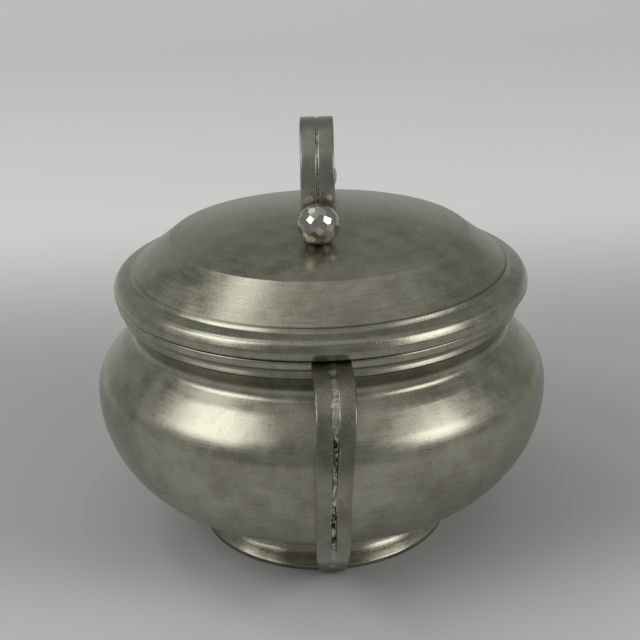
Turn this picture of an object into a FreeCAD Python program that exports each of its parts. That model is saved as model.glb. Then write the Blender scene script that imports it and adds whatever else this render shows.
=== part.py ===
"""Covered sugar bowl in spun, cast and soldered pewter.

A squat round bowl stands on a flared foot ring. Two ear handles, each made of
two flat straps soldered side by side, run from the mouth ring down to the foot.
The loose lid has a low crown, a steep shoulder and a heavy half-round rim, and
carries a loop of the same double strap with a ball soldered at each foot.

Frame: millimetres, +Z up, origin on the table under the centre of the bowl,
the handles on the Y axis, the front one towards -Y.
"""
import FreeCAD, Part
import math
import os
import Sketcher

doc = FreeCAD.newDocument("SugarBowl")

# Driving sizes: millimetres, heights from the table unless the note says otherwise.
SIZES = [
    # the bowl, spun from sheet
    ("wall", 1.2),
    ("base_height", 7.7),       # underside of the flat bottom
    ("base_radius", 31.0),      # where the flat bottom turns up
    ("belly_radius", 62.6),     # corner of the lower belly curve
    ("belly_low", 22.7),
    ("belly_high", 48.2),       # corner of the upper belly curve
    ("belly_lean", 0.6),        # how far the side leans in between the two corners
    ("belly_curve", 32.0),
    ("shoulder_curve", 12.2),
    ("neck_corner", 49.4),      # corner of the hollow neck
    ("neck_height", 61.1),
    ("neck_curve", 6.5),
    ("collar_radius", 53.2),    # short upright collar at the mouth
    ("collar_start", 66.7),
    ("mouth_height", 70.5),     # the seat of the lid
    # the ring around the mouth
    ("ring_reach", 1.8),
    ("ring_depth", 2.6),
    ("ring_round", 0.9),
    # the foot ring
    ("foot_radius", 35.2),
    ("foot_lip", 1.2),
    ("foot_waist", 31.2),
    ("foot_corner", 31.7),
    ("foot_corner_height", 4.4),
    ("foot_curve", 6.0),
    ("foot_wall", 2.0),
    # the straps of the two handles
    ("strap_thick", 2.2),
    ("strap_top_half", 4.8),    # half the width of the pair at the mouth
    ("strap_mid_half", 4.1),
    ("strap_low_half", 4.35),
    ("seam_width", 0.5),
    ("seam_sink", 0.5),
    ("strap_drop", 0.3),        # the straps start this far below the lid's seat
    ("ear_top", 71.7),          # corners of the ear, out from the axis and up
    ("ear_top_curve", 11.6),
    ("ear_reach", 78.2),
    ("ear_height", 52.7),
    ("ear_curve", 18.8),
    ("ear_low_reach", 74.3),
    ("ear_low_height", 30.6),
    ("ear_low_curve", 29.8),
    ("heel_out", 41.5),
    ("heel_height", 7.1),
    ("heel_curve", 12.0),
    ("tip_out", 33.5),
    ("tip_sink", 2.2),          # the strap is cut off where it would go on down
    ("tip_height", 0.9),
    ("tip_round", 2.6),
    ("taper_start", 62.0),      # heights between which the straps narrow
    ("taper_end", 30.0),
    ("toe_height", 12.0),
    # the lid; heights above the seat
    ("lid_turn", -2.9),         # degrees the loose lid is turned from the handles
    ("bead_radius", 56.0),
    ("bead_side", 0.6),
    ("bead_under", 0.9),        # how far the underside of the rim draws in
    ("bead_crest", 4.7),
    ("bead_lean", 0.4),
    ("bead_curve", 3.0),
    ("bead_nose", 0.5),
    ("bead_depth", 2.8),        # how far the rim reaches in past the flange
    ("arris_radius", 52.0),     # sharp edge between the rim's bead and its cove
    ("arris_drop", 0.9),
    ("ledge_height", 7.1),      # where the shoulder stands on the rim
    ("shoulder_radius", 50.5),
    ("shoulder_seat", 2.1),     # width of the shoulder's edge on the rim
    ("crease_radius", 40.3),
    ("crease_height", 14.3),
    ("crown_rise", 5.9),
    ("flange_wall", 1.2),
    ("flange_gap", 0.4),        # from the foot of the collar up to the flange's edge
    ("lid_clearance", 0.5),
    # the loop and balls on the lid; heights above the seat
    ("loop_half_span", 16.0),
    ("loop_foot", 14.6),
    ("loop_height", 45.0),
    ("loop_bend", 15.0),
    ("loop_thick", 1.9),
    ("loop_half_width", 4.35),
    ("loop_seam", 0.4),
    ("loop_sink", 0.45),
    ("ball_radius", 5.3),
    ("ball_place", 22.7),
    ("ball_sink", 0.5),         # depth of the soldered seat under each ball
]
NAMES = {name for name, number in SIZES}
SPARE_RUN = 0.99                # the share of a run that its two roundings may take up

sheet = doc.addObject("Spreadsheet::Sheet", "Sizes")
for row, (name, number) in enumerate(SIZES, start=1):
    sheet.set(f"A{row}", name)
    sheet.set(f"B{row}", str(number))
    sheet.setAlias(f"B{row}", name)
doc.recompute()


def cell(formula):
    """The formula with each size's name turned into its cell of the sheet."""
    words = formula.replace("(", " ( ").replace(")", " ) ").split()
    return " ".join(f"Sizes.{word}" if word in NAMES else word for word in words)


def number_of(formula):
    return float(sheet.evalExpression(cell(formula)))


# --------------------------------------------------------------- sketched outlines
def limited(corners):
    """The same corners, with any two roundings that would meet on the run between
    them made smaller in the same measure until they fit it."""
    points = [FreeCAD.Vector(number_of(c[0]), number_of(c[1]), 0) for c in corners]
    reaches = [0.0] * len(corners)
    for index in range(1, len(corners) - 1):
        if len(corners[index]) > 2:
            back, ahead = points[index - 1] - points[index], points[index + 1] - points[index]
            reaches[index] = number_of(corners[index][2]) / math.tan(back.getAngle(ahead) / 2)
    room = [
        min(1.0, SPARE_RUN * (after - this).Length / max(near + far, 1e-9))
        for this, after, near, far in zip(points, points[1:], reaches, reaches[1:])
    ]
    fitted = []
    for index, corner in enumerate(corners):
        share = min(room[index - 1], room[index]) if 0 < index < len(room) else 1.0
        if len(corner) > 2 and share < 1.0:
            corner = (corner[0], corner[1], f"( {corner[2]} ) * {share:.5f}")
        fitted.append(corner)
    return fitted


class Outline:
    """A sketch of straight runs between corners, each corner sharp or rounded.

    A corner is (across, up) or (across, up, radius). Both places and the radius
    are formulas on the sheet's names and drive the sketch. The run that leaves a
    corner numbered in `domes` is an arc centred on the vertical axis."""

    def __init__(self, body, name, plane, corners, closed=True, domes=()):
        self.sketch = body.newObject("Sketcher::SketchObject", name)
        origin = [item for item in body.Origin.OriginFeatures if item.Role == plane][0]
        self.sketch.AttachmentSupport = [(origin, "")]
        self.sketch.MapMode = "FlatFace"
        self.corners = corners
        self.driven = {}
        self.points = [FreeCAD.Vector(number_of(c[0]), number_of(c[1]), 0) for c in corners]
        self.arcs = [self.draw_corner(index) for index in range(len(corners))]
        last = len(corners) if closed else len(corners) - 1
        self.runs = [self.draw_run(index, index in domes) for index in range(last)]
        for index in range(len(corners)):
            self.join(index, closed)
        for name, formula in self.driven.items():
            self.sketch.setExpression(f"Constraints.{name}", cell(formula))

    def draw_corner(self, index):
        """The rounding of a corner, or None where it is sharp."""
        if len(self.corners[index]) < 3:
            return None
        radius = number_of(self.corners[index][2])
        corner = self.points[index]
        back = (self.points[index - 1] - corner).normalize()
        ahead = (self.points[(index + 1) % len(self.points)] - corner).normalize()
        half = back.getAngle(ahead) / 2
        reach = radius / math.tan(half)
        centre = corner + (back + ahead).normalize() * (radius / math.sin(half))
        middle = centre + (corner - centre).normalize() * radius
        return self.add(Part.Arc(corner + back * reach, middle, corner + ahead * reach))

    def draw_run(self, index, dome):
        """The run from one corner's rounding to the next one's."""
        after = (index + 1) % len(self.points)
        start = self.arcs[index][4] if self.arcs[index] else self.points[index]
        end = self.arcs[after][3] if self.arcs[after] else self.points[after]
        if not dome:
            return self.add(Part.LineSegment(start, end))
        rise = end.y - start.y
        centre = FreeCAD.Vector(0, (end.x**2 - start.x**2 + end.y**2 - start.y**2) / (2 * rise), 0)
        middle = ((start + end) * 0.5 - centre).normalize() * (start - centre).Length
        run = self.add(Part.Arc(start, centre + middle, end))
        self.constrain("PointOnObject", run[0], 3, -2)
        return run

    def add(self, curve):
        """Adds a curve; gives its number, its two ends' numbers and their places."""
        start, end = curve.value(curve.FirstParameter), curve.value(curve.LastParameter)
        index = self.sketch.addGeometry(curve, False)
        forward = self.sketch.getPoint(index, 1).distanceToPoint(start) < 1e-6
        return (index, 1, 2, start, end) if forward else (index, 2, 1, start, end)

    def join(self, index, closed):
        """Ties the runs on both sides of a corner to it and holds its place."""
        count = len(self.corners)
        before = self.runs[index - 1] if closed or index > 0 else None
        after = self.runs[index] if closed or index < count - 1 else None
        arc = self.arcs[index]
        if arc:
            spot = self.sketch.addGeometry(Part.Point(self.points[index]), True)
            self.constrain("Tangent", before[0], before[2], arc[0], arc[1])
            self.constrain("Tangent", arc[0], arc[2], after[0], after[1])
            self.constrain("PointOnObject", spot, 1, before[0])
            self.constrain("PointOnObject", spot, 1, after[0])
            self.drive(f"round_{index}", "Radius", self.corners[index][2], arc[0])
            held, end = spot, 1
        else:
            if before and after:
                self.constrain("Coincident", before[0], before[2], after[0], after[1])
            held, end = (after[0], after[1]) if after else (before[0], before[2])
        across, up = self.corners[index][:2]
        for name, kind, formula, axis in (
                ("across", "DistanceX", across, -2), ("up", "DistanceY", up, -1)):
            if abs(number_of(formula)) < 1e-9:
                self.constrain("PointOnObject", held, end, axis)
            else:
                self.drive(f"{name}_{index}", kind, formula, -1, 1, held, end)

    def constrain(self, kind, *where):
        return self.sketch.addConstraint(Sketcher.Constraint(kind, *where))

    def drive(self, name, kind, formula, *where):
        index = self.constrain(kind, *where, number_of(formula))
        self.sketch.renameConstraint(index, name)
        self.driven[name] = formula


# ------------------------------------------------------------------- features
PIECES = []


def new_body(label, turn=None):
    """A body for one piece, turned about the vertical axis by a named angle."""
    body = doc.addObject("PartDesign::Body", label)
    body.Label = label
    PIECES.append(body)
    if turn:
        body.setExpression("Placement.Rotation.Angle", cell(turn))
        body.Placement = FreeCAD.Placement(
            FreeCAD.Vector(), FreeCAD.Rotation(FreeCAD.Vector(0, 0, 1), number_of(turn)))
    return body


def turned(body, kind, name, corners, plane="XZ_Plane", domes=(), axis="V_Axis"):
    """Revolution or Groove of an outline about the vertical axis."""
    outline = Outline(body, f"{body.Label}_{name}_sketch", plane, corners, domes=domes)
    feature = body.newObject(f"PartDesign::{kind}", f"{body.Label}_{name}")
    feature.Profile = outline.sketch
    feature.ReferenceAxis = (outline.sketch, [axis])
    feature.Angle = 360
    doc.recompute()
    return feature


def beside(corners, amount, dome=None):
    """The corners of an outline that runs beside another, `amount` to its left.

    Each corner moves square to the two runs that meet there, and its rounding
    grows or shrinks to keep the two outlines an even distance apart. `dome`
    numbers a run that is an arc centred on the vertical axis."""
    points = [FreeCAD.Vector(number_of(c[0]), number_of(c[1]), 0) for c in corners]
    leaving = [(after - this).normalize() for this, after in zip(points, points[1:])]
    coming = list(leaving)
    if dome is not None:
        leaving[dome], coming[dome] = dome_directions(points[dome], points[dome + 1])
    leaving.append(coming[-1])
    coming.insert(0, leaving[0])
    moved = []
    for corner, point, before, after in zip(corners, points, coming, leaving):
        across, up = [FreeCAD.Vector(-way.y, way.x, 0) for way in (before, after)]
        shift = (across + up) / (1 + across.dot(up))
        place = [f"{corner[0]} + ( {amount} ) * ( {shift.x:.5f} )"]
        if dome is not None and abs(point.x) < 1e-6:
            place = ["0"]
        place.append(f"{corner[1]} + ( {amount} ) * ( {shift.y:.5f} )")
        if len(corner) > 2:
            sign = "-" if before.cross(after).z > 0 else "+"
            place.append(f"{corner[2]} {sign} ( {amount} )")
        moved.append(tuple(place))
    return moved


def dome_directions(start, end):
    """Directions of an arc centred on the vertical axis, at its start and its end."""
    rise = end.y - start.y
    centre_up = (end.x**2 - start.x**2 + end.y**2 - start.y**2) / (2 * rise)
    ways = []
    for place in (start, end):
        radial = (place - FreeCAD.Vector(0, centre_up, 0)).normalize()
        ways.append(FreeCAD.Vector(-radial.y, radial.x, 0))
    return ways


def bent_strap(body, path, inner, outer, half_thick):
    """A strap bent along a path in the YZ plane, from inner to outer across it."""
    path = limited(path)
    sides = beside(path, f"0 - {half_thick}") + beside(path, half_thick)[::-1]
    outline = Outline(body, f"{body.Label}_side", "YZ_Plane", sides)
    outline.sketch.setExpression("AttachmentOffset.Base.z", cell(inner))
    strap = body.newObject("PartDesign::Pad", f"{body.Label}_pad")
    strap.Profile = outline.sketch
    strap.setExpression("Length", cell(f"{outer} - ( {inner} )"))
    doc.recompute()


# ------------------------------------------------------------------ shared outlines
RING_OUT = "collar_radius + ring_reach"
RING_LOW = "mouth_height - ring_depth"
LEDGE = "mouth_height + ledge_height"
CREASE = "mouth_height + crease_height"
CROWN = "mouth_height + crease_height + crown_rise"
MOUTH_INNER = "collar_radius - wall"
FLANGE_OUT = f"{MOUTH_INNER} - lid_clearance"
BEAD_INNER = f"{FLANGE_OUT} - flange_wall - bead_depth"

foot_outside = [
    ("foot_radius", "0"),
    ("foot_radius", "foot_lip"),
    ("foot_corner", "foot_corner_height", "foot_curve"),
    ("foot_waist", "base_height"),
]
ring_outside = [
    (RING_OUT, RING_LOW, "ring_round"),
    (RING_OUT, "mouth_height", "ring_round"),
]


# -------------------------------------------------------------------------- bowl
def make_bowl():
    """The spun bowl: flat bottom, round belly, hollow neck and upright collar."""
    body = new_body("bowl_shell")
    outside = [
        ("0", "base_height"),
        ("base_radius", "base_height"),
        ("belly_radius", "belly_low", "belly_curve"),
        ("belly_radius - belly_lean", "belly_high", "shoulder_curve"),
        ("neck_corner", "neck_height", "neck_curve"),
        ("collar_radius", "collar_start"),
        ("collar_radius", "mouth_height"),
    ]
    outside = limited(outside)
    turned(body, "Revolution", "sheet", outside + beside(outside, "wall")[::-1])


def make_mouth_ring():
    """The half-round ring soldered around the collar, flush with its top."""
    body = new_body("mouth_ring")
    turned(body, "Revolution", "section", [
        ("collar_radius", RING_LOW),
        *ring_outside,
        ("collar_radius", "mouth_height"),
    ])


def make_foot():
    """The flared foot ring, soldered under the flat bottom."""
    body = new_body("foot_ring")
    turned(body, "Revolution", "section", [
        *foot_outside,
        ("foot_waist - foot_wall", "base_height"),
        ("foot_corner - foot_wall", "foot_corner_height", "foot_curve"),
        ("foot_radius - foot_wall", "0"),
    ])


# ----------------------------------------------------------------------- handles
STRAP_MIDDLE = "mouth_height - strap_drop - strap_thick / 2"
EAR_PATH = [
    ("collar_radius", STRAP_MIDDLE),
    ("ear_top", STRAP_MIDDLE, "ear_top_curve"),
    ("ear_reach", "ear_height", "ear_curve"),
    ("ear_low_reach", "ear_low_height", "ear_low_curve"),
    ("heel_out", "heel_height", "heel_curve"),
    ("tip_out", "0 - tip_sink"),
]


def make_strap(label, side, sink, turn):
    """One piece of an ear handle, swept along the ear and fitted to its seats.

    side is 1 or -1 for a strap on that side of the middle and 0 for the solder
    seam between the two; sink is how far its faces lie below the straps' faces."""
    body = new_body(label, turn)
    inner = f"{side} * seam_width / 2" if side else "0 - seam_width / 2"
    outer = f"{side} * strap_top_half" if side else "seam_width / 2"
    bent_strap(body, EAR_PATH, *sorted((inner, outer), key=number_of),
               f"( strap_thick / 2 - {sink} )")
    trim_outline(body, side)
    turned(body, "Groove", "foot_seat", [("0", "0"), *foot_outside, ("0", "base_height")])
    turned(body, "Groove", "ring_seat", [("0", RING_LOW), *ring_outside, ("0", "mouth_height")])


def trim_outline(body, side):
    """Shears the sides of the strap to their taper and rounds its tip."""
    sign = side or 1
    beyond = f"{sign} * 2 * strap_top_half"
    within = f"{0 - sign} * strap_top_half"
    outline = [
        (f"{sign} * strap_top_half", "taper_start"),
        (f"{sign} * strap_mid_half", "taper_end"),
        (f"{sign} * strap_low_half", "toe_height"),
        (f"{sign} * strap_low_half", "tip_height", "tip_round"),
        (within, "tip_height"),
        (within, "0 - 3 * strap_thick"),
        (beyond, "0 - 3 * strap_thick"),
        (beyond, "taper_start"),
    ]
    shears = Outline(body, f"{body.Label}_taper_sketch", "XZ_Plane", outline)
    pocket = body.newObject("PartDesign::Pocket", f"{body.Label}_taper")
    pocket.Profile = shears.sketch
    pocket.Type = "ThroughAll"
    pocket.Midplane = True
    doc.recompute()


# --------------------------------------------------------------------------- lid
def make_lid_shell():
    """The low crown and the steep shoulder below its crease, raised in one piece."""
    body = new_body("lid_shell", "lid_turn")
    outside = [
        ("shoulder_radius", LEDGE),
        ("crease_radius", CREASE),
        ("0", CROWN),
    ]
    inside = beside(outside, "wall", dome=1)
    inside[0] = ("shoulder_radius - shoulder_seat", LEDGE)
    turned(body, "Revolution", "sheet", outside + inside[::-1], domes=(1, 3))


def make_lid_rim():
    """The heavy cast rim with its half-round edge and narrow inner ledge."""
    body = new_body("lid_rim_bead", "lid_turn")
    turned(body, "Revolution", "section", [
        (BEAD_INNER, "mouth_height"),
        ("bead_radius - bead_under", "mouth_height"),
        ("bead_radius", "mouth_height + bead_side", "bead_nose"),
        ("bead_radius - bead_lean", "mouth_height + bead_crest", "bead_curve"),
        ("arris_radius", f"{LEDGE} - arris_drop"),
        ("shoulder_radius", LEDGE),
        (BEAD_INNER, LEDGE),
    ])


def make_flange():
    """The ring under the rim that drops into the mouth and centres the lid."""
    body = new_body("lid_flange", "lid_turn")
    turned(body, "Revolution", "section", [
        (FLANGE_OUT, "mouth_height"),
        (f"{FLANGE_OUT} - flange_wall", "mouth_height"),
        (f"{FLANGE_OUT} - flange_wall", "collar_start + flange_gap"),
        (FLANGE_OUT, "collar_start + flange_gap"),
    ])


# ---------------------------------------------------------------- loop and balls
LOOP_TOP = "mouth_height + loop_height - loop_thick / 2"
LOOP_PATH = [
    ("0 - loop_foot", LEDGE),
    ("0 - loop_half_span", LOOP_TOP, "loop_bend"),
    ("loop_half_span", LOOP_TOP, "loop_bend"),
    ("loop_foot", LEDGE),
]
CROWN_SEAT = [("0", "0"), ("crease_radius", "0"), ("crease_radius", CREASE), ("0", CROWN)]


def seat_on_crown(body):
    turned(body, "Groove", "crown_seat", CROWN_SEAT, domes=(2,))


def make_loop(label, side, sink):
    """One piece of the loop: a strap on side 1 or -1, or the seam between at 0."""
    body = new_body(label, "lid_turn")
    inner = f"{side} * loop_seam / 2" if side else "0 - loop_seam / 2"
    outer = f"{side} * loop_half_width" if side else "loop_seam / 2"
    bent_strap(body, LOOP_PATH, *sorted((inner, outer), key=number_of),
               f"( loop_thick / 2 - {sink} )")
    seat_on_crown(body)


def make_ball(label, side):
    """A ball soldered to the crown just outside a foot of the loop."""
    body = new_body(label, "lid_turn")
    place = f"{side} * ball_place"
    radius = number_of("ball_radius")
    ball = body.newObject("PartDesign::AdditiveSphere", f"{label}_sphere")
    ball.Radius = radius
    ball.setExpression("Radius", cell("ball_radius"))
    slope = "crease_height + crown_rise * ( 1 - ( ball_place / crease_radius ) ^ 2 )"
    ball.setExpression("AttachmentOffset.Base.y", cell(place))
    ball.setExpression(
        "AttachmentOffset.Base.z", cell(f"mouth_height + {slope} + ball_radius - ball_sink"))
    ball.AttachmentSupport = [(body.Origin.OriginFeatures[3], "")]
    ball.MapMode = "FlatFace"
    doc.recompute()
    seat_on_crown(body)


# ---------------------------------------------------------------------- assembly
make_bowl()
make_mouth_ring()
make_foot()
for place, turn, mirror in (("back", None, 1), ("front", "180", -1)):
    make_strap(f"handle_{place}_right_strap", mirror, "0", turn)
    make_strap(f"handle_{place}_left_strap", -mirror, "0", turn)
    make_strap(f"handle_{place}_solder_seam", 0, "seam_sink", turn)
make_lid_shell()
make_lid_rim()
make_flange()
make_loop("loop_right_strap", 1, "0")
make_loop("loop_left_strap", -1, "0")
make_loop("loop_solder_seam", 0, "loop_sink")
make_ball("ball_front", -1)
make_ball("ball_rear", 1)
doc.recompute()

# Nothing is written unless every object and every piece is sound.
for item in doc.Objects:
    if "Invalid" in item.State or "Error" in item.State:
        raise RuntimeError(f"{item.Label} failed: {item.State}")
for body in PIECES:
    if body.Shape.isNull() or not body.Shape.isValid() or len(body.Shape.Solids) != 1:
        raise RuntimeError(f"{body.Label} is not one sound solid")

os.makedirs("parts", exist_ok=True)
for body in PIECES:
    body.Shape.exportStep(f"parts/{body.Label}.step")
    box = body.Shape.optimalBoundingBox()
    print(f"{body.Label:28s} {body.Shape.Volume:9.1f} mm3  "
          f"x {box.XMin:6.1f} {box.XMax:6.1f}  y {box.YMin:6.1f} {box.YMax:6.1f}  "
          f"z {box.ZMin:6.1f} {box.ZMax:6.1f}")
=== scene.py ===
"""Covered sugar bowl in pewter: spun bowl and lid, double-strap handles and loop."""
import math
import bmesh
import bpy
from mathutils import Matrix, Vector, noise


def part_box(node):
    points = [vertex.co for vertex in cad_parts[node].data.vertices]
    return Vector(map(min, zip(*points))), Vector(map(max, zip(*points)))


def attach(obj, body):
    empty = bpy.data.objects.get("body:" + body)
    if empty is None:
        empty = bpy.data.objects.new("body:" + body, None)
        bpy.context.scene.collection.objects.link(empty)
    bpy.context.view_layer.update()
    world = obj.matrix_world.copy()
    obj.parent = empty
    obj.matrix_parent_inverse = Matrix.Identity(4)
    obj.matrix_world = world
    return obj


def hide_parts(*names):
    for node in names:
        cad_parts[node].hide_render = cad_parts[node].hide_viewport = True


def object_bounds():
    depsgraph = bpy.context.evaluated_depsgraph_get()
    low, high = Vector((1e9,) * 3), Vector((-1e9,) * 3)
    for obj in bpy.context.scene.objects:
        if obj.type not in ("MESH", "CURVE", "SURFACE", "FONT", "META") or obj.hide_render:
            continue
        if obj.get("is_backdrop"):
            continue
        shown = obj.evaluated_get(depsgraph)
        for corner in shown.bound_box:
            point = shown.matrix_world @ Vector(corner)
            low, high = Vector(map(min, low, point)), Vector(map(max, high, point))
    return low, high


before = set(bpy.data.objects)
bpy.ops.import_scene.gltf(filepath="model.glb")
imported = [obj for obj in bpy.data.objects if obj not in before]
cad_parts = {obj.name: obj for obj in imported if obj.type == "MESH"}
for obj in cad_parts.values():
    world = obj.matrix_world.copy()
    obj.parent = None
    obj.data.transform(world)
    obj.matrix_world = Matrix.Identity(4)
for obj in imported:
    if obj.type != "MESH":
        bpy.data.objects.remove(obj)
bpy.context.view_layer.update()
MM = 0.001

# Camera: a 67.5 mm lens a little above the bowl, looking down at the front
# handle, which stands slightly to the right of the middle, and tipped a little.
DISTANCE, HEIGHT = 0.30972, 0.18431
SWING, DOWN, TIP = math.radians(-2.4), math.radians(22.09), math.radians(1.55)
camera_data = bpy.data.cameras.new("camera")
camera_data.lens = 67.5
camera_data.sensor_width = 36
camera = bpy.data.objects.new("camera", camera_data)
bpy.context.scene.collection.objects.link(camera)
turn = Matrix.Rotation(SWING, 4, "Z") @ Matrix.Rotation(math.pi / 2 - DOWN, 4, "X")
forward = turn @ Vector((0, 0, -1))
place = Matrix.Rotation(SWING, 4, "Z") @ Vector((0, -DISTANCE, HEIGHT))
camera.matrix_world = Matrix.Translation(place) @ Matrix.Rotation(TIP, 4, forward) @ turn
bpy.context.scene.camera = camera


# The pewter: a grey tin alloy with a faint olive warmth. Every piece has the same metal, worn
# soft, with blotches, hairline scratches and small dark pits; the spun pieces also carry the fine
# rings that the turning left. Painted shade darkens the colour along the creases where pieces
# meet, and in the hollows of the solder.
class Wire:
    """A value that runs between the nodes of a material; sums on it add Math nodes."""

    def __init__(self, tree, socket):
        self.tree = tree
        self.socket = socket

    def node(self, kind, settings=(), values=(), output=0):
        """Adds a node with its settings, its inputs' values or links, and one output."""
        new = self.tree.nodes.new(f"ShaderNode{kind}")
        for key, value in dict(settings).items():
            setattr(new, key, value)
        for key, value in dict(values).items():
            if isinstance(value, Wire):
                self.tree.links.new(value.socket, new.inputs[key])
            else:
                new.inputs[key].default_value = value
        return Wire(self.tree, new.outputs[output])

    def maths(self, operation, *others):
        values = dict(enumerate((self, *others)))
        return self.node("Math", {"operation": operation}, values)

    def swapped(self, operation, first):
        return self.node("Math", {"operation": operation}, {0: first, 1: self})

    def __add__(self, other):
        return self.maths("ADD", other)

    def __radd__(self, other):
        return self.maths("ADD", other)

    def __sub__(self, other):
        return self.maths("SUBTRACT", other)

    def __rsub__(self, other):
        return self.swapped("SUBTRACT", other)

    def __mul__(self, other):
        return self.maths("MULTIPLY", other)

    def __rmul__(self, other):
        return self.maths("MULTIPLY", other)

    def __truediv__(self, other):
        return self.maths("DIVIDE", other)

    def over(self, low, high):
        """0 below low, 1 above high, and a smooth rise in between."""
        settings = {"interpolation_type": "SMOOTHSTEP"}
        return self.node("MapRange", settings, {"Value": self, "From Min": low, "From Max": high})


LIGHT, DARK = (0.42, 0.41, 0.33), (0.24, 0.232, 0.182)
# The near-black that the dark pits, and the painted shade in creases and hollows, are mixed
# towards.
PIT_AND_SHADE_DARK, MOST_PIT_AND_SHADE = (0.030, 0.029, 0.022), 0.85
BRIGHTEST = 0.14
RELIEF = 0.12 * MM


def pewter(name, light, dark, gloss, rings, wear=1.0, shaded_creases=(), solder_hollow_shade=0.0):
    """One finish of the pewter. gloss is its roughness, rings how strong the turning
    lines are, the crease list the radii, heights and widths of creases darkened with painted
    shade, and the hollow amount how much of it is broken up by hollows darkened with painted
    shade, as in rough solder."""
    material = bpy.data.materials.new(name)
    material.use_nodes = True
    tree = material.node_tree
    shader = tree.nodes["Principled BSDF"]
    shader.inputs["Metallic"].default_value = 1.0
    coordinates = tree.nodes.new("ShaderNodeTexCoord")
    spot = Wire(tree, coordinates.outputs["Object"])
    x, y, z = (spot.node("SeparateXYZ", (), {0: spot}, axis) for axis in range(3))
    radius = (x * x + y * y).maths("SQRT").maths("MAXIMUM", 0.5 * MM)
    across, along = x / radius, y / radius

    def ringed(fine, spread):
        """Noise drawn out along the turning, `fine` per metre across it."""
        vector = spot.node("CombineXYZ", (), {0: radius * fine, 1: z * fine, 2: across * spread})
        settings = {"noise_dimensions": "4D"}
        values = {"Vector": vector, "W": along * spread, "Scale": 1.0, "Detail": 3.0}
        return spot.node("TexNoise", settings, values)

    def cloudy(scale, detail=4.0, stretch=(1, 1, 1), tilt=(0, 0, 0)):
        """Plain noise, `scale` per metre, stretched into streaks where asked."""
        mapped = spot.node("Mapping", (), {"Vector": spot, "Scale": stretch, "Rotation": tilt})
        values = {"Vector": mapped, "Scale": scale, "Detail": detail, "Roughness": 0.6}
        return spot.node("TexNoise", (), values)

    blotch = cloudy(38)
    mottle = cloudy(160, 6)
    pits = cloudy(900, 2).over(0.71, 0.76) * cloudy(60).over(0.55, 0.66)
    scratch = cloudy(90, 3, (1, 46, 5), (0.3, 0.5, 0.9)).over(0.62, 0.74)
    scratch = scratch + cloudy(80, 3, (42, 1, 6), (0.8, -0.4, 0.5)).over(0.63, 0.75)
    scratch = scratch + cloudy(110, 3, (3, 7, 48), (1.1, 0.7, -0.4)).over(0.63, 0.75)
    grain = cloudy(2300, 2)
    lines = ringed(2600, 6.0)
    bands = ringed(330, 0.8)
    # The pits are real dark marks; the solder hollows and creases added below are painted shade.
    pits_and_painted_shade = pits * 0.7
    if solder_hollow_shade:
        painted_hollows = cloudy(1500, 3, (1, 1, 0.25)).over(0.49, 0.62)
        pits_and_painted_shade = pits_and_painted_shade + painted_hollows * solder_hollow_shade
    # Painted shade: a dark band along each crease where pieces meet.
    for ring_radius, ring_height, width in shaded_creases:
        aside = (radius - ring_radius * MM).maths("ABSOLUTE")
        above = (z - ring_height * MM).maths("ABSOLUTE")
        pits_and_painted_shade = pits_and_painted_shade + (1 - (aside + above).over(0.0, width * MM)) * (0.55 + 0.4 * mottle)
    tone = (blotch - 0.5) * 1.2 + (mottle - 0.5) * 1.1 + (bands - 0.5) * (0.35 * rings) + 0.5
    tone = tone + (lines - 0.5) * (0.9 * rings) + (grain - 0.5) * 0.7 - scratch * (0.12 * wear)
    colour = spot.node("Mix", {"data_type": "RGBA"},
                       {0: tone.over(0.0, 1.0), 6: (*dark, 1), 7: (*light, 1)}, 2)
    colour = spot.node("Mix", {"data_type": "RGBA"},
                       {0: pits_and_painted_shade.maths("MINIMUM", MOST_PIT_AND_SHADE), 6: colour, 7: (*PIT_AND_SHADE_DARK, 1)}, 2)
    tree.links.new(colour.socket, shader.inputs["Base Color"])
    rough = gloss + (blotch - 0.5) * 0.16 + (mottle - 0.5) * 0.18 + (lines - 0.5) * (0.30 * rings)
    rough = rough + pits_and_painted_shade * 0.2 + (grain - 0.5) * 0.12 + scratch * (0.05 * wear)
    tree.links.new(rough.maths("MAXIMUM", BRIGHTEST).socket, shader.inputs["Roughness"])
    height = lines * (0.5 * rings) + mottle * 0.9 + bands * (0.30 * rings)
    height = height - scratch * (0.14 * wear) - pits_and_painted_shade * 0.5 + blotch * 1.0 + grain * 0.12
    bump = spot.node("Bump", (), {"Strength": 0.35, "Distance": RELIEF, "Height": height})
    tree.links.new(bump.socket, shader.inputs["Normal"])
    return material


def finished(piece, nodes, body, material):
    """Hides the piece's CAD nodes, hangs it under its body, and gives it its finish as its only
    material.
    """
    piece.data.materials.clear()
    piece.data.materials.append(material)
    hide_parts(*nodes)
    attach(piece, body)


# The bowl is one disc of sheet spun over a form: a flat bottom, a deep round belly,
# a hollow neck that flares out to a thin step, and a short upright collar above it.
DOME_STEPS = 40
WELD = 0.002 * MM


def verts_of(items):
    return [item for item in items if isinstance(item, bmesh.types.BMVert)]


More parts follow.
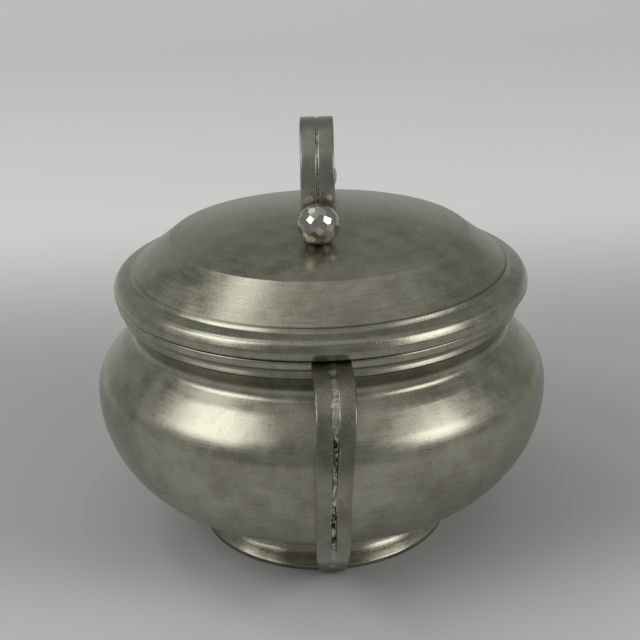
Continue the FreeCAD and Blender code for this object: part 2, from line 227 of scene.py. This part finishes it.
def draw_outline(bm, corners):
    """Draws a closed outline in the XZ plane: sharp corners (across, up), rounded
    corners (across, up, radius), and (across, up, "dome") for a corner that is
    reached by an arc centred on the axis."""
    points = [Vector((corner[0], 0, corner[1])) * MM for corner in corners]
    ahead = points[1:] + points[:1]
    last = first = None
    for index, corner in enumerate(corners):
        point = points[index]
        kind = corner[2] if len(corner) > 2 else 0
        if kind == "dome":
            before = points[index - 1]
            rise = point.z - before.z
            centre_z = (point.length_squared - before.length_squared) / (2 * rise)
            centre = Vector((0, 0, centre_z))
            swing = (before - centre).angle(point - centre)
            way = -1 if point.x < before.x else 1
            spun = bmesh.ops.spin(bm, geom=[last], cent=centre, axis=(0, 1, 0),
                                  angle=way * math.copysign(swing, before.z - centre_z),
                                  steps=DOME_STEPS)
            last = verts_of(spun["geom_last"])[0]
            continue
        start = point
        if kind:
            back = (points[index - 1] - point).normalized()
            onward = (ahead[index] - point).normalized()
            half = back.angle(onward) / 2
            start = point + back * (kind * MM / math.tan(half))
            centre = point + (back + onward).normalized() * (kind * MM / math.sin(half))
        if last is None:
            last = first = bm.verts.new(start)
        else:
            new = bmesh.ops.extrude_vert_indiv(bm, verts=[last])
            last = new["verts"][0]
            last.co = start
        if kind:
            swing = math.pi - 2 * half
            spun = bmesh.ops.spin(bm, geom=[last], cent=centre, axis=onward.cross(back),
                                  angle=swing, steps=max(3, round(swing * (4 + 0.9 * kind))))
            last = verts_of(spun["geom_last"])[0]
    bmesh.ops.contextual_create(bm, geom=[last, first])


def turned(name, corners, steps=300, shift=(0, 0, 0)):
    """Turns a closed outline about the vertical axis, then moves it by shift."""
    bm = bmesh.new()
    draw_outline(bm, corners)
    everything = bm.verts[:] + bm.edges[:]
    bmesh.ops.spin(bm, geom=everything, cent=(0, 0, 0), axis=(0, 0, 1),
                   angle=2 * math.pi, steps=steps, use_merge=True)
    bmesh.ops.remove_doubles(bm, verts=bm.verts[:], dist=WELD)
    bmesh.ops.recalc_face_normals(bm, faces=bm.faces[:])
    bmesh.ops.translate(bm, vec=shift, verts=bm.verts[:])
    return made(name, bm)


def made(name, bm, smooth_under=28):
    """Turns a finished bmesh into an object, smooth but for its sharp edges."""
    mesh = bpy.data.meshes.new(name)
    bm.to_mesh(mesh)
    bm.free()
    piece = bpy.data.objects.new(name, mesh)
    bpy.context.scene.collection.objects.link(piece)
    mesh.shade_smooth()
    mesh.set_sharp_from_angle(angle=math.radians(smooth_under))
    return piece


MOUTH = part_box("mouth_ring")[1][2] / MM
WALL, BASE, COLLAR = 1.2, 7.7, 53.2
# Painted shade darkens the bowl under the mouth ring, along the step below it and round the foot.
spun_bowl = pewter("spun_bowl_pewter", LIGHT, DARK, 0.30, 0.55,
                   shaded_creases=((COLLAR, 67.6, 1.2), (53.6, 65.3, 0.7), (31.4, 7.8, 2.6)))
bowl = turned("bowl", [
    (0, BASE), (31.0, BASE), (62.6, 22.7, 32.0), (62.0, 48.2, 12.2), (54.8, 56.2, 9.0),
    (50.2, 59.8, 2.8), (53.8, 65.6, 0.12), (53.22, 66.6, 0.7), (COLLAR, MOUTH),
    (COLLAR - WALL, MOUTH), (COLLAR - WALL, 66.1), (48.5, 59.4, 4.0), (54.0, 55.3, 7.8),
    (60.8, 47.9, 11.0), (61.4, 23.4, 30.8), (30.7, BASE + WALL), (0, BASE + WALL)])
finished(bowl, ["bowl_shell"], "bowl", spun_bowl)

# The mouth ring is a half-round wire soldered around the collar. It stiffens the
# mouth, carries the lid, and gives the handles something to be soldered to.
RING_OUT, RING_LOW, RING_ROUND = 55.0, MOUTH - 2.6, 0.9
turned_metal = pewter("turned_pewter", LIGHT, DARK, 0.27, 0.7)
mouth_ring = turned("mouth_ring_turned", [
    (COLLAR, RING_LOW), (RING_OUT, RING_LOW, RING_ROUND), (RING_OUT, MOUTH, RING_ROUND),
    (COLLAR, MOUTH)])
finished(mouth_ring, ["mouth_ring"], "bowl", turned_metal)

# The foot is a flared ring, turned and soldered under the flat bottom.
foot = turned("foot", [
    (35.2, 0.15), (35.2, 1.2, 0.4), (31.7, 4.4, 6.0), (31.2, BASE), (29.2, BASE),
    (29.7, 4.4, 6.0), (33.2, 0), (35.05, 0)])
# Painted shade darkens the foot where it meets the bottom.
foot_metal = pewter("foot_pewter", LIGHT, DARK, 0.27, 0.8, shaded_creases=((31.3, 7.6, 1.6),))
finished(foot, ["foot_ring"], "bowl", foot_metal)

# The lid's shell has a low crown that ends in a sharp crease, and a sloping shoulder
# below it that stands on the heavy rim. The loose lid sits turned and a little off
# centre in the mouth.
SHOULDER, LEDGE = 50.5, MOUTH + 6.5
CREASE_OUT, CREASE = 40.3, MOUTH + 14.3
CROWN_RISE = 5.9
CROWN = CREASE + CROWN_RISE
LID_TURN = math.radians(-2.9)
LID_SHIFT = Vector((0.45, 0, 0)) * MM
# Painted shade darkens the lid shell where it meets the rim.
lid_metal = pewter("spun_lid_pewter", LIGHT, DARK, 0.31, 0.75,
                   shaded_creases=((SHOULDER, LEDGE, 0.9),))
lid = turned("lid_crown", [
    (SHOULDER, LEDGE), (CREASE_OUT, CREASE, 0.3), (36.0, CREASE + 1.2), (0, CROWN, "dome"),
    (0, CROWN - WALL), (39.7, CREASE - WALL - 0.25, "dome"), (48.4, LEDGE)], shift=LID_SHIFT)
finished(lid, ["lid_shell"], "lid", lid_metal)

# The rim is cast heavy, turned to a half-round bead, and soldered under the shell;
# a thin flange inside it drops into the mouth and centres the lid.
# Painted shade darkens the rim where it meets the shell and where it sits on the mouth ring.
rim_metal = pewter("rim_pewter", LIGHT, DARK, 0.28, 0.75,
                   shaded_creases=((SHOULDER, LEDGE, 0.7), (RING_OUT, MOUTH, 0.7)))
SEAT, RIM_IN = MOUTH + 0.05, 47.5
rim = turned("lid_rim", [
    (RIM_IN, SEAT), (55.1, SEAT), (56.0, MOUTH + 0.6, 0.5), (56.1, MOUTH + 2.4, 2.0),
    (54.9, MOUTH + 4.7, 2.1), (52.3, LEDGE - 1.25, 0.1), (51.3, LEDGE - 1.05, 0.5),
    (SHOULDER, LEDGE), (RIM_IN, LEDGE)], shift=LID_SHIFT)
finished(rim, ["lid_rim_bead"], "lid", rim_metal)
FLANGE_OUT, FLANGE_IN, FLANGE_LOW = 51.5, 50.3, 67.1
flange = turned("flange", [
    (FLANGE_OUT, MOUTH), (FLANGE_IN, MOUTH), (FLANGE_IN, FLANGE_LOW),
    (FLANGE_OUT, FLANGE_LOW, 0.4)], shift=LID_SHIFT)
finished(flange, ["lid_flange"], "lid", turned_metal)


# Each ear handle is two flat straps, sawn from sheet, bent over a stake, laid side
# by side and soldered along the seam, with edges that were filed round by hand.
LONG_EDGE, DRAWN_STEP = 0.7, 1.2
SPLIT = 0.001 * MM


def section_ring(bm, low, high, thick, rounding, start):
    """A rounded rectangle across X from low to high, facing the start of a path."""
    bmesh.ops.create_grid(bm, x_segments=1, y_segments=1, size=0.5)
    size = Vector((high - low, thick, 1)) * MM
    bmesh.ops.scale(bm, vec=size, verts=bm.verts[:])
    bmesh.ops.bevel(bm, geom=bm.verts[:], offset=rounding * MM, segments=5, profile=0.5,
                    affect="VERTICES", material=-1)
    long_edges = [edge for edge in bm.edges if edge.calc_length() > LONG_EDGE * MM]
    bmesh.ops.subdivide_edges(bm, edges=long_edges, cuts=3)
    bmesh.ops.delete(bm, geom=bm.faces[:], context="FACES_ONLY")
    middle = Vector(((low + high) / 2 * MM, 0, 0))
    bmesh.ops.translate(bm, vec=start * MM + middle, verts=bm.verts[:])


def edges_of(items):
    return [item for item in items if isinstance(item, bmesh.types.BMEdge)]


def bent_strap(low, high, thick, rounding, path):
    """Sweeps a strap's section along a path in the YZ plane.

    The path's corners are (out, up) or (out, up, radius); runs are drawn out in
    short steps and bends are spun, so the strap can be worked afterwards."""
    bm = bmesh.new()
    points = [Vector((0, corner[0], corner[1])) for corner in path]
    section_ring(bm, low, high, thick, rounding, points[0])
    ring = bm.verts[:] + bm.edges[:]
    first = (points[1] - points[0]).normalized()
    flat = Vector((0, 0, 1)).rotation_difference(first)
    bmesh.ops.rotate(bm, cent=points[0] * MM, matrix=flat.to_matrix(), verts=bm.verts[:])
    bmesh.ops.contextual_create(bm, geom=edges_of(ring))
    reached = points[0]
    for index in range(1, len(points)):
        point = points[index]
        stop, bend = point, None
        if len(path[index]) > 2:
            radius = path[index][2]
            back = (points[index - 1] - point).normalized()
            onward = (points[index + 1] - point).normalized()
            half = back.angle(onward) / 2
            stop = point + back * (radius / math.tan(half))
            centre = point + (back + onward).normalized() * (radius / math.sin(half))
            bend = (centre, -back.cross(onward), math.pi - 2 * half)
        run = stop - reached
        steps = max(1, round(run.length / DRAWN_STEP))
        for _ in range(steps):
            drawn = bmesh.ops.extrude_edge_only(bm, edges=edges_of(ring))["geom"]
            kept = verts_of(drawn)
            bmesh.ops.translate(bm, vec=run / steps * MM, verts=kept)
            ring = kept + [edge for edge in edges_of(drawn)
                           if edge.verts[0] in kept and edge.verts[1] in kept]
        reached = stop
        if bend:
            centre, axis, swing = bend
            spun = bmesh.ops.spin(bm, geom=ring, cent=centre * MM, axis=axis, angle=swing,
                                  steps=max(4, round(swing * radius / DRAWN_STEP)))
            ring = spun["geom_last"]
            reached = point + onward * (radius / math.tan(half))
    bmesh.ops.contextual_create(bm, geom=edges_of(ring))
    bmesh.ops.recalc_face_normals(bm, faces=bm.faces[:])
    return bm


STRAP_THICK = 2.2
EAR_START = MOUTH - 0.3 - STRAP_THICK / 2
EAR = [(54.2, EAR_START), (71.7, EAR_START, 11.6), (78.2, 52.7, 18.8), (74.3, 30.6, 29.8),
       (41.5, 7.1, 12.0), (33.5, -2.2)]
TIP, TIP_ROUND = 0.9, 2.6
TOP_HALF, LOW_HALF = 4.8, 3.9
TAPER_LOW, TAPER_RUN = 42.0, 30.0
LEAN, LEAN_UP, LEAN_RUN = 1.4, 70.0, 26.0
RETURN, RETURN_UP, RETURN_RUN = 1.2, 26.0, 20.0
THIN_SOLDER = ((29, 4, 46, 3), (49, 3, 64, 4))


def eased(amount):
    """0 below 0, 1 above 1, and a smooth rise in between."""
    amount = min(1.0, max(0.0, amount))
    return amount * amount * (3 - 2 * amount)


def half_width(up):
    """Half the width of the pair of straps at a height: narrowed below the bend, and
    rounded off at the tip."""
    width = LOW_HALF + (TOP_HALF - LOW_HALF) * eased((up - TAPER_LOW) / TAPER_RUN)
    if up < TIP + TIP_ROUND:
        fall = TIP + TIP_ROUND - up
        width -= TIP_ROUND - math.sqrt(max(0.0, TIP_ROUND**2 - fall**2))
    return width


def sliced(bm, place, outward):
    """Cuts off what lies outward of a plane and closes the cut."""
    bmesh.ops.bisect_plane(bm, geom=bm.verts[:] + bm.edges[:] + bm.faces[:], dist=SPLIT,
                           plane_co=place, plane_no=outward, clear_outer=True)
    open_edges = [edge for edge in bm.edges if edge.is_boundary]
    bmesh.ops.holes_fill(bm, edges=open_edges, sides=0)


def worked(bm, seed):
    """Gives a swept handle piece its taper, its lean and waver, and its parted seam."""
    for vert in bm.verts:
        across, out, up = vert.co / MM
        share = across / TOP_HALF
        parting = 0.30 + 0.35 * noise.noise(Vector((2.0, 0.7, up * 0.10)))
        parting *= max(0.0, 1 - abs(share)) * (1 if share > 0 else -1)
        across = share * half_width(up) + parting
        across += LEAN * eased((LEAN_UP - up) / LEAN_RUN)
        across -= RETURN * eased((RETURN_UP - up) / RETURN_RUN) + 0.15
        across += 0.12 * noise.noise(Vector((seed, 0.3, up * 0.09)))
        out += 0.18 * noise.noise(Vector((seed + 5, across * 0.3, up * 0.11)))
        vert.co = Vector((across, out, up)) * MM
    sliced(bm, Vector((0, 0, TIP)) * MM, (0, 0, -1))


def soldered(bm, seed):
    """Raises a seam into the lumps and hollows of solder drawn along by hand, and
    opens it along two stretches of the handle where the solder ran thin."""
    bm.normal_update()
    for vert in bm.verts:
        across, out, up = vert.co / MM
        lump = noise.noise(Vector((seed, up * 0.45, out * 0.45)))
        lump += 0.6 * noise.noise(Vector((seed + 9, up * 1.3, out * 1.3)))
        side = noise.noise(Vector((seed + 3, up * 0.35, out * 0.35)))
        vert.co += Vector((0.20 * side, 0, 0)) * MM
        vert.co += vert.normal * (0.40 * lump) * MM
        gap = sum(eased((up - start) / opening) * eased((end - up) / closing)
                  for start, opening, end, closing in THIN_SOLDER)
        off_middle = abs(across + 0.35 * noise.noise(Vector((seed + 7, up * 0.9, 0))))
        vert.co -= vert.normal * (1.1 * gap * eased((0.45 - off_middle) / 0.25)) * MM


def fitted(name, strap, node, body, metal):
    """Makes a strap or a seam a finished piece of its body."""
    piece = made(name, strap, 40)
    if node.endswith("solder_seam"):
        finished(piece, [node], body, solder_metal)
    else:
        finished(piece, [node], body, metal)


# Painted shade: the straps get a darker copy of the pewter, standing in for the dark they
# reflect.
shaded_strap_metal = pewter("strap_pewter", (0.34, 0.33, 0.265), (0.16, 0.154, 0.12), 0.31, 0.0, 1.6)
# Painted shade darkens the hollows of the solder.
solder_metal = pewter("solder_pewter", (0.74, 0.73, 0.66), (0.24, 0.235, 0.20), 0.20, 0.0, 1.0,
                      solder_hollow_shade=0.75)
half_turn = Matrix.Rotation(math.pi, 3, "Z")
swap = {"right_strap": "left_strap", "left_strap": "right_strap", "solder_seam": "solder_seam"}
for end, end_seed in (("front", 18.5), ("back", 14.8)):
    for part, low, high, thick, rounding in (
            ("right_strap", 0.12, TOP_HALF, STRAP_THICK, 0.5),
            ("left_strap", -TOP_HALF, -0.12, STRAP_THICK, 0.5),
            ("solder_seam", -0.85, 0.85, 2.1, 0.35)):
        strap = bent_strap(low, high, thick, rounding, EAR)
        if part == "solder_seam":
            soldered(strap, end_seed + low)
        worked(strap, end_seed + low)
        if end == "front":
            bmesh.ops.rotate(strap, matrix=half_turn, verts=strap.verts[:])
            part = swap[part]
        fitted(f"{end}_handle_{part}", strap, f"handle_{end}_{part}", "bowl", shaded_strap_metal)

# The loop on the lid is bent from the same double strap, with its feet soldered to
# the crown; the straps part a little low down and show a slit of light.
LOOP_THICK, LOOP_HALF = 1.9, 4.35
LOOP_FOOT, LOOP_TOP = CREASE + 3.6, MOUTH + 45.0 - LOOP_THICK / 2
LOOP = [(-14.6, LOOP_FOOT), (-16.0, LOOP_TOP, 15.0), (16.0, LOOP_TOP, 15.0), (14.6, LOOP_FOOT)]
SLIT_UP, SLIT_RUN, SLIT_WIDE = 97.5, 5.0, 0.22
# Painted shade: the loop gets a slightly darker copy of the pewter, standing in for the dark it
# reflects.
shaded_loop_metal = pewter("loop_pewter_painted_shade", (0.38, 0.372, 0.318), (0.22, 0.213, 0.175), 0.30, 0.0, 1.4)


def set_on_lid(bm):
    """Turns and shifts a piece as the loose lid is."""
    bmesh.ops.rotate(bm, matrix=Matrix.Rotation(LID_TURN, 3, "Z"), verts=bm.verts[:])
    bmesh.ops.translate(bm, vec=LID_SHIFT, verts=bm.verts[:])


for part, low, high, thick, rounding in (
        ("right_strap", 0.1, LOOP_HALF, LOOP_THICK, 0.45),
        ("left_strap", -LOOP_HALF, -0.1, LOOP_THICK, 0.45),
        ("solder_seam", -0.35, 0.35, 1.2, 0.2)):
    strap = bent_strap(low, high, thick, rounding, LOOP)
    if part == "solder_seam":
        soldered(strap, 4.1)
    else:
        side = 1 if low > 0 else -1
        for vert in strap.verts:
            up = vert.co.z / MM
            slit = SLIT_WIDE * math.exp(-((up - SLIT_UP) / SLIT_RUN) ** 2)
            inner = 1 if abs(vert.co.x) < 2 * MM else 0.3
            vert.co.x += side * slit * inner * MM
            vert.co.x += 0.10 * MM * noise.noise(Vector((side, up * 0.12, 0.5)))
    set_on_lid(strap)
    fitted(f"loop_{part}_worked", strap, f"loop_{part}", "lid", shaded_loop_metal)

# Each ball was cast, filed round and planished with a small hammer, which left it
# covered in flat polished facets. noise_vector is seeded, or its draw would change.
noise.seed_set(7)
ball_metal = pewter("ball_pewter", (0.50, 0.49, 0.43), (0.32, 0.312, 0.265), 0.20, 0.0, 0.7)
BALL, BALL_PLACE, BALL_SINK, FACETS = 5.3, 22.7, 0.5, 120
GOLDEN = math.pi * (3 - math.sqrt(5))
BALL_UP = CREASE + CROWN_RISE * (1 - (BALL_PLACE / CREASE_OUT) ** 2) + BALL - BALL_SINK
for name, side in (("ball_front", -1), ("ball_rear", 1)):
    ball = bmesh.new()
    bmesh.ops.create_icosphere(ball, subdivisions=4, radius=BALL * 1.012 * MM)
    for facet in range(FACETS):
        height = 1 - 2 * (facet + 0.5) / FACETS
        around = facet * GOLDEN + side
        level = math.sqrt(1 - height * height)
        face = Vector((level * math.cos(around), level * math.sin(around), height))
        face += 0.07 * noise.noise_vector(face * 9)
        face.normalize()
        depth = BALL * (0.980 + 0.008 * noise.noise(face * 7))
        sliced(ball, face * depth * MM, face)
    spot = Vector((0, side * BALL_PLACE, BALL_UP)) * MM
    bmesh.ops.translate(ball, vec=spot, verts=ball.verts[:])
    set_on_lid(ball)
    piece = made(f"{name}_planished", ball, 7)
    finished(piece, [name], "lid", ball_metal)

# The floor runs up into a low backdrop in one sweep of pale grey paper. Its colour holds a
# painted shadow on the strip the bowl stands on, painted light that makes the floor in front of
# it paler, and a paler tone behind the bowl.
HALF_WIDE, NEAR_EDGE, SWEEP_START, SWEEP_RADIUS = 4, -5.0, 0.8, 0.5
sweep = bmesh.new()
near = bmesh.ops.create_grid(sweep, x_segments=1, y_segments=1, size=1)["verts"]
bmesh.ops.delete(sweep, geom=sweep.faces[:], context="FACES_ONLY")
bmesh.ops.delete(sweep, geom=[v for v in near if v.co.y > 0], context="VERTS")
for vert in sweep.verts:
    vert.co = Vector((vert.co.x * HALF_WIDE, NEAR_EDGE, 0))
grown = bmesh.ops.extrude_edge_only(sweep, edges=sweep.edges[:])["geom"]
far = verts_of(grown)
bmesh.ops.translate(sweep, vec=(0, SWEEP_START - NEAR_EDGE, 0), verts=far)
far += [edge for edge in edges_of(grown) if all(vert in far for vert in edge.verts)]
bmesh.ops.spin(sweep, geom=far, cent=(0, SWEEP_START, SWEEP_RADIUS), axis=(1, 0, 0),
               angle=math.pi / 2, steps=24)
bmesh.ops.recalc_face_normals(sweep, faces=sweep.faces[:])
paper = made("paper_sweep", sweep, 60)
paper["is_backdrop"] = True
grey = bpy.data.materials.new("grey_paper_painted_shadow")
grey.use_nodes = True
grey_shader = grey.node_tree.nodes["Principled BSDF"]
grey_shader.inputs["Roughness"].default_value = 0.85
paper_coordinates = grey.node_tree.nodes.new("ShaderNodeTexCoord")
paper_place = Wire(grey.node_tree, paper_coordinates.outputs["Object"])
behind = paper_place.node("SeparateXYZ", (), {0: paper_place}, 1)
# Painted light makes the floor in front paler; the strip under the bowl keeps the darker tone as
# a painted shadow.
painted_front_light = (0 - behind).over(0.01, 0.06)
paper_tone_with_painted_shadow = 0.50 + 0.13 * painted_front_light + 0.44 * behind.over(0.11, 0.30)
grey.node_tree.links.new(paper_tone_with_painted_shadow.socket, grey_shader.inputs["Base Color"])
paper.data.materials.append(grey)


# Two soft boxes to the left and right of the front, a small one high on the left, a
# wide dim one overhead, and a dim grey room.
def soft_box(name, azimuth, elevation, distance, size, watts):
    """A rectangle of light aimed at the bowl; azimuth 0 is in front of it."""
    lamp = bpy.data.lights.new(name, "AREA")
    lamp.shape = "RECTANGLE"
    lamp.size, lamp.size_y = size
    lamp.energy = watts
    box = bpy.data.objects.new(name, lamp)
    bpy.context.scene.collection.objects.link(box)
    around, up = math.radians(azimuth), math.radians(elevation)
    level = Vector((math.sin(around), -math.cos(around), 0)) * math.cos(up)
    box.location = (level + Vector((0, 0, math.sin(up)))) * distance
    aim = Vector((0, 0, 0.05)) - box.location
    box.rotation_euler = aim.to_track_quat("-Z", "Y").to_euler()


soft_box("left_box", -68, 43, 1.3, (0.75, 0.62), 4.7)
soft_box("right_box", 60, 33, 1.3, (0.62, 0.50), 3.8)
soft_box("side_box", -108, 64, 1.3, (0.30, 0.30), 1.0)
soft_box("top_box", 0, 86, 1.7, (2.0, 2.0), 3)
world = bpy.data.worlds.new("room")
bpy.context.scene.world = world
world.use_nodes = True
room = world.node_tree.nodes["Background"]
room.inputs["Color"].default_value = (0.40, 0.40, 0.39, 1)
room.inputs["Strength"].default_value = 0.70
bpy.context.scene.view_settings.view_transform = "Standard"

low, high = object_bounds()
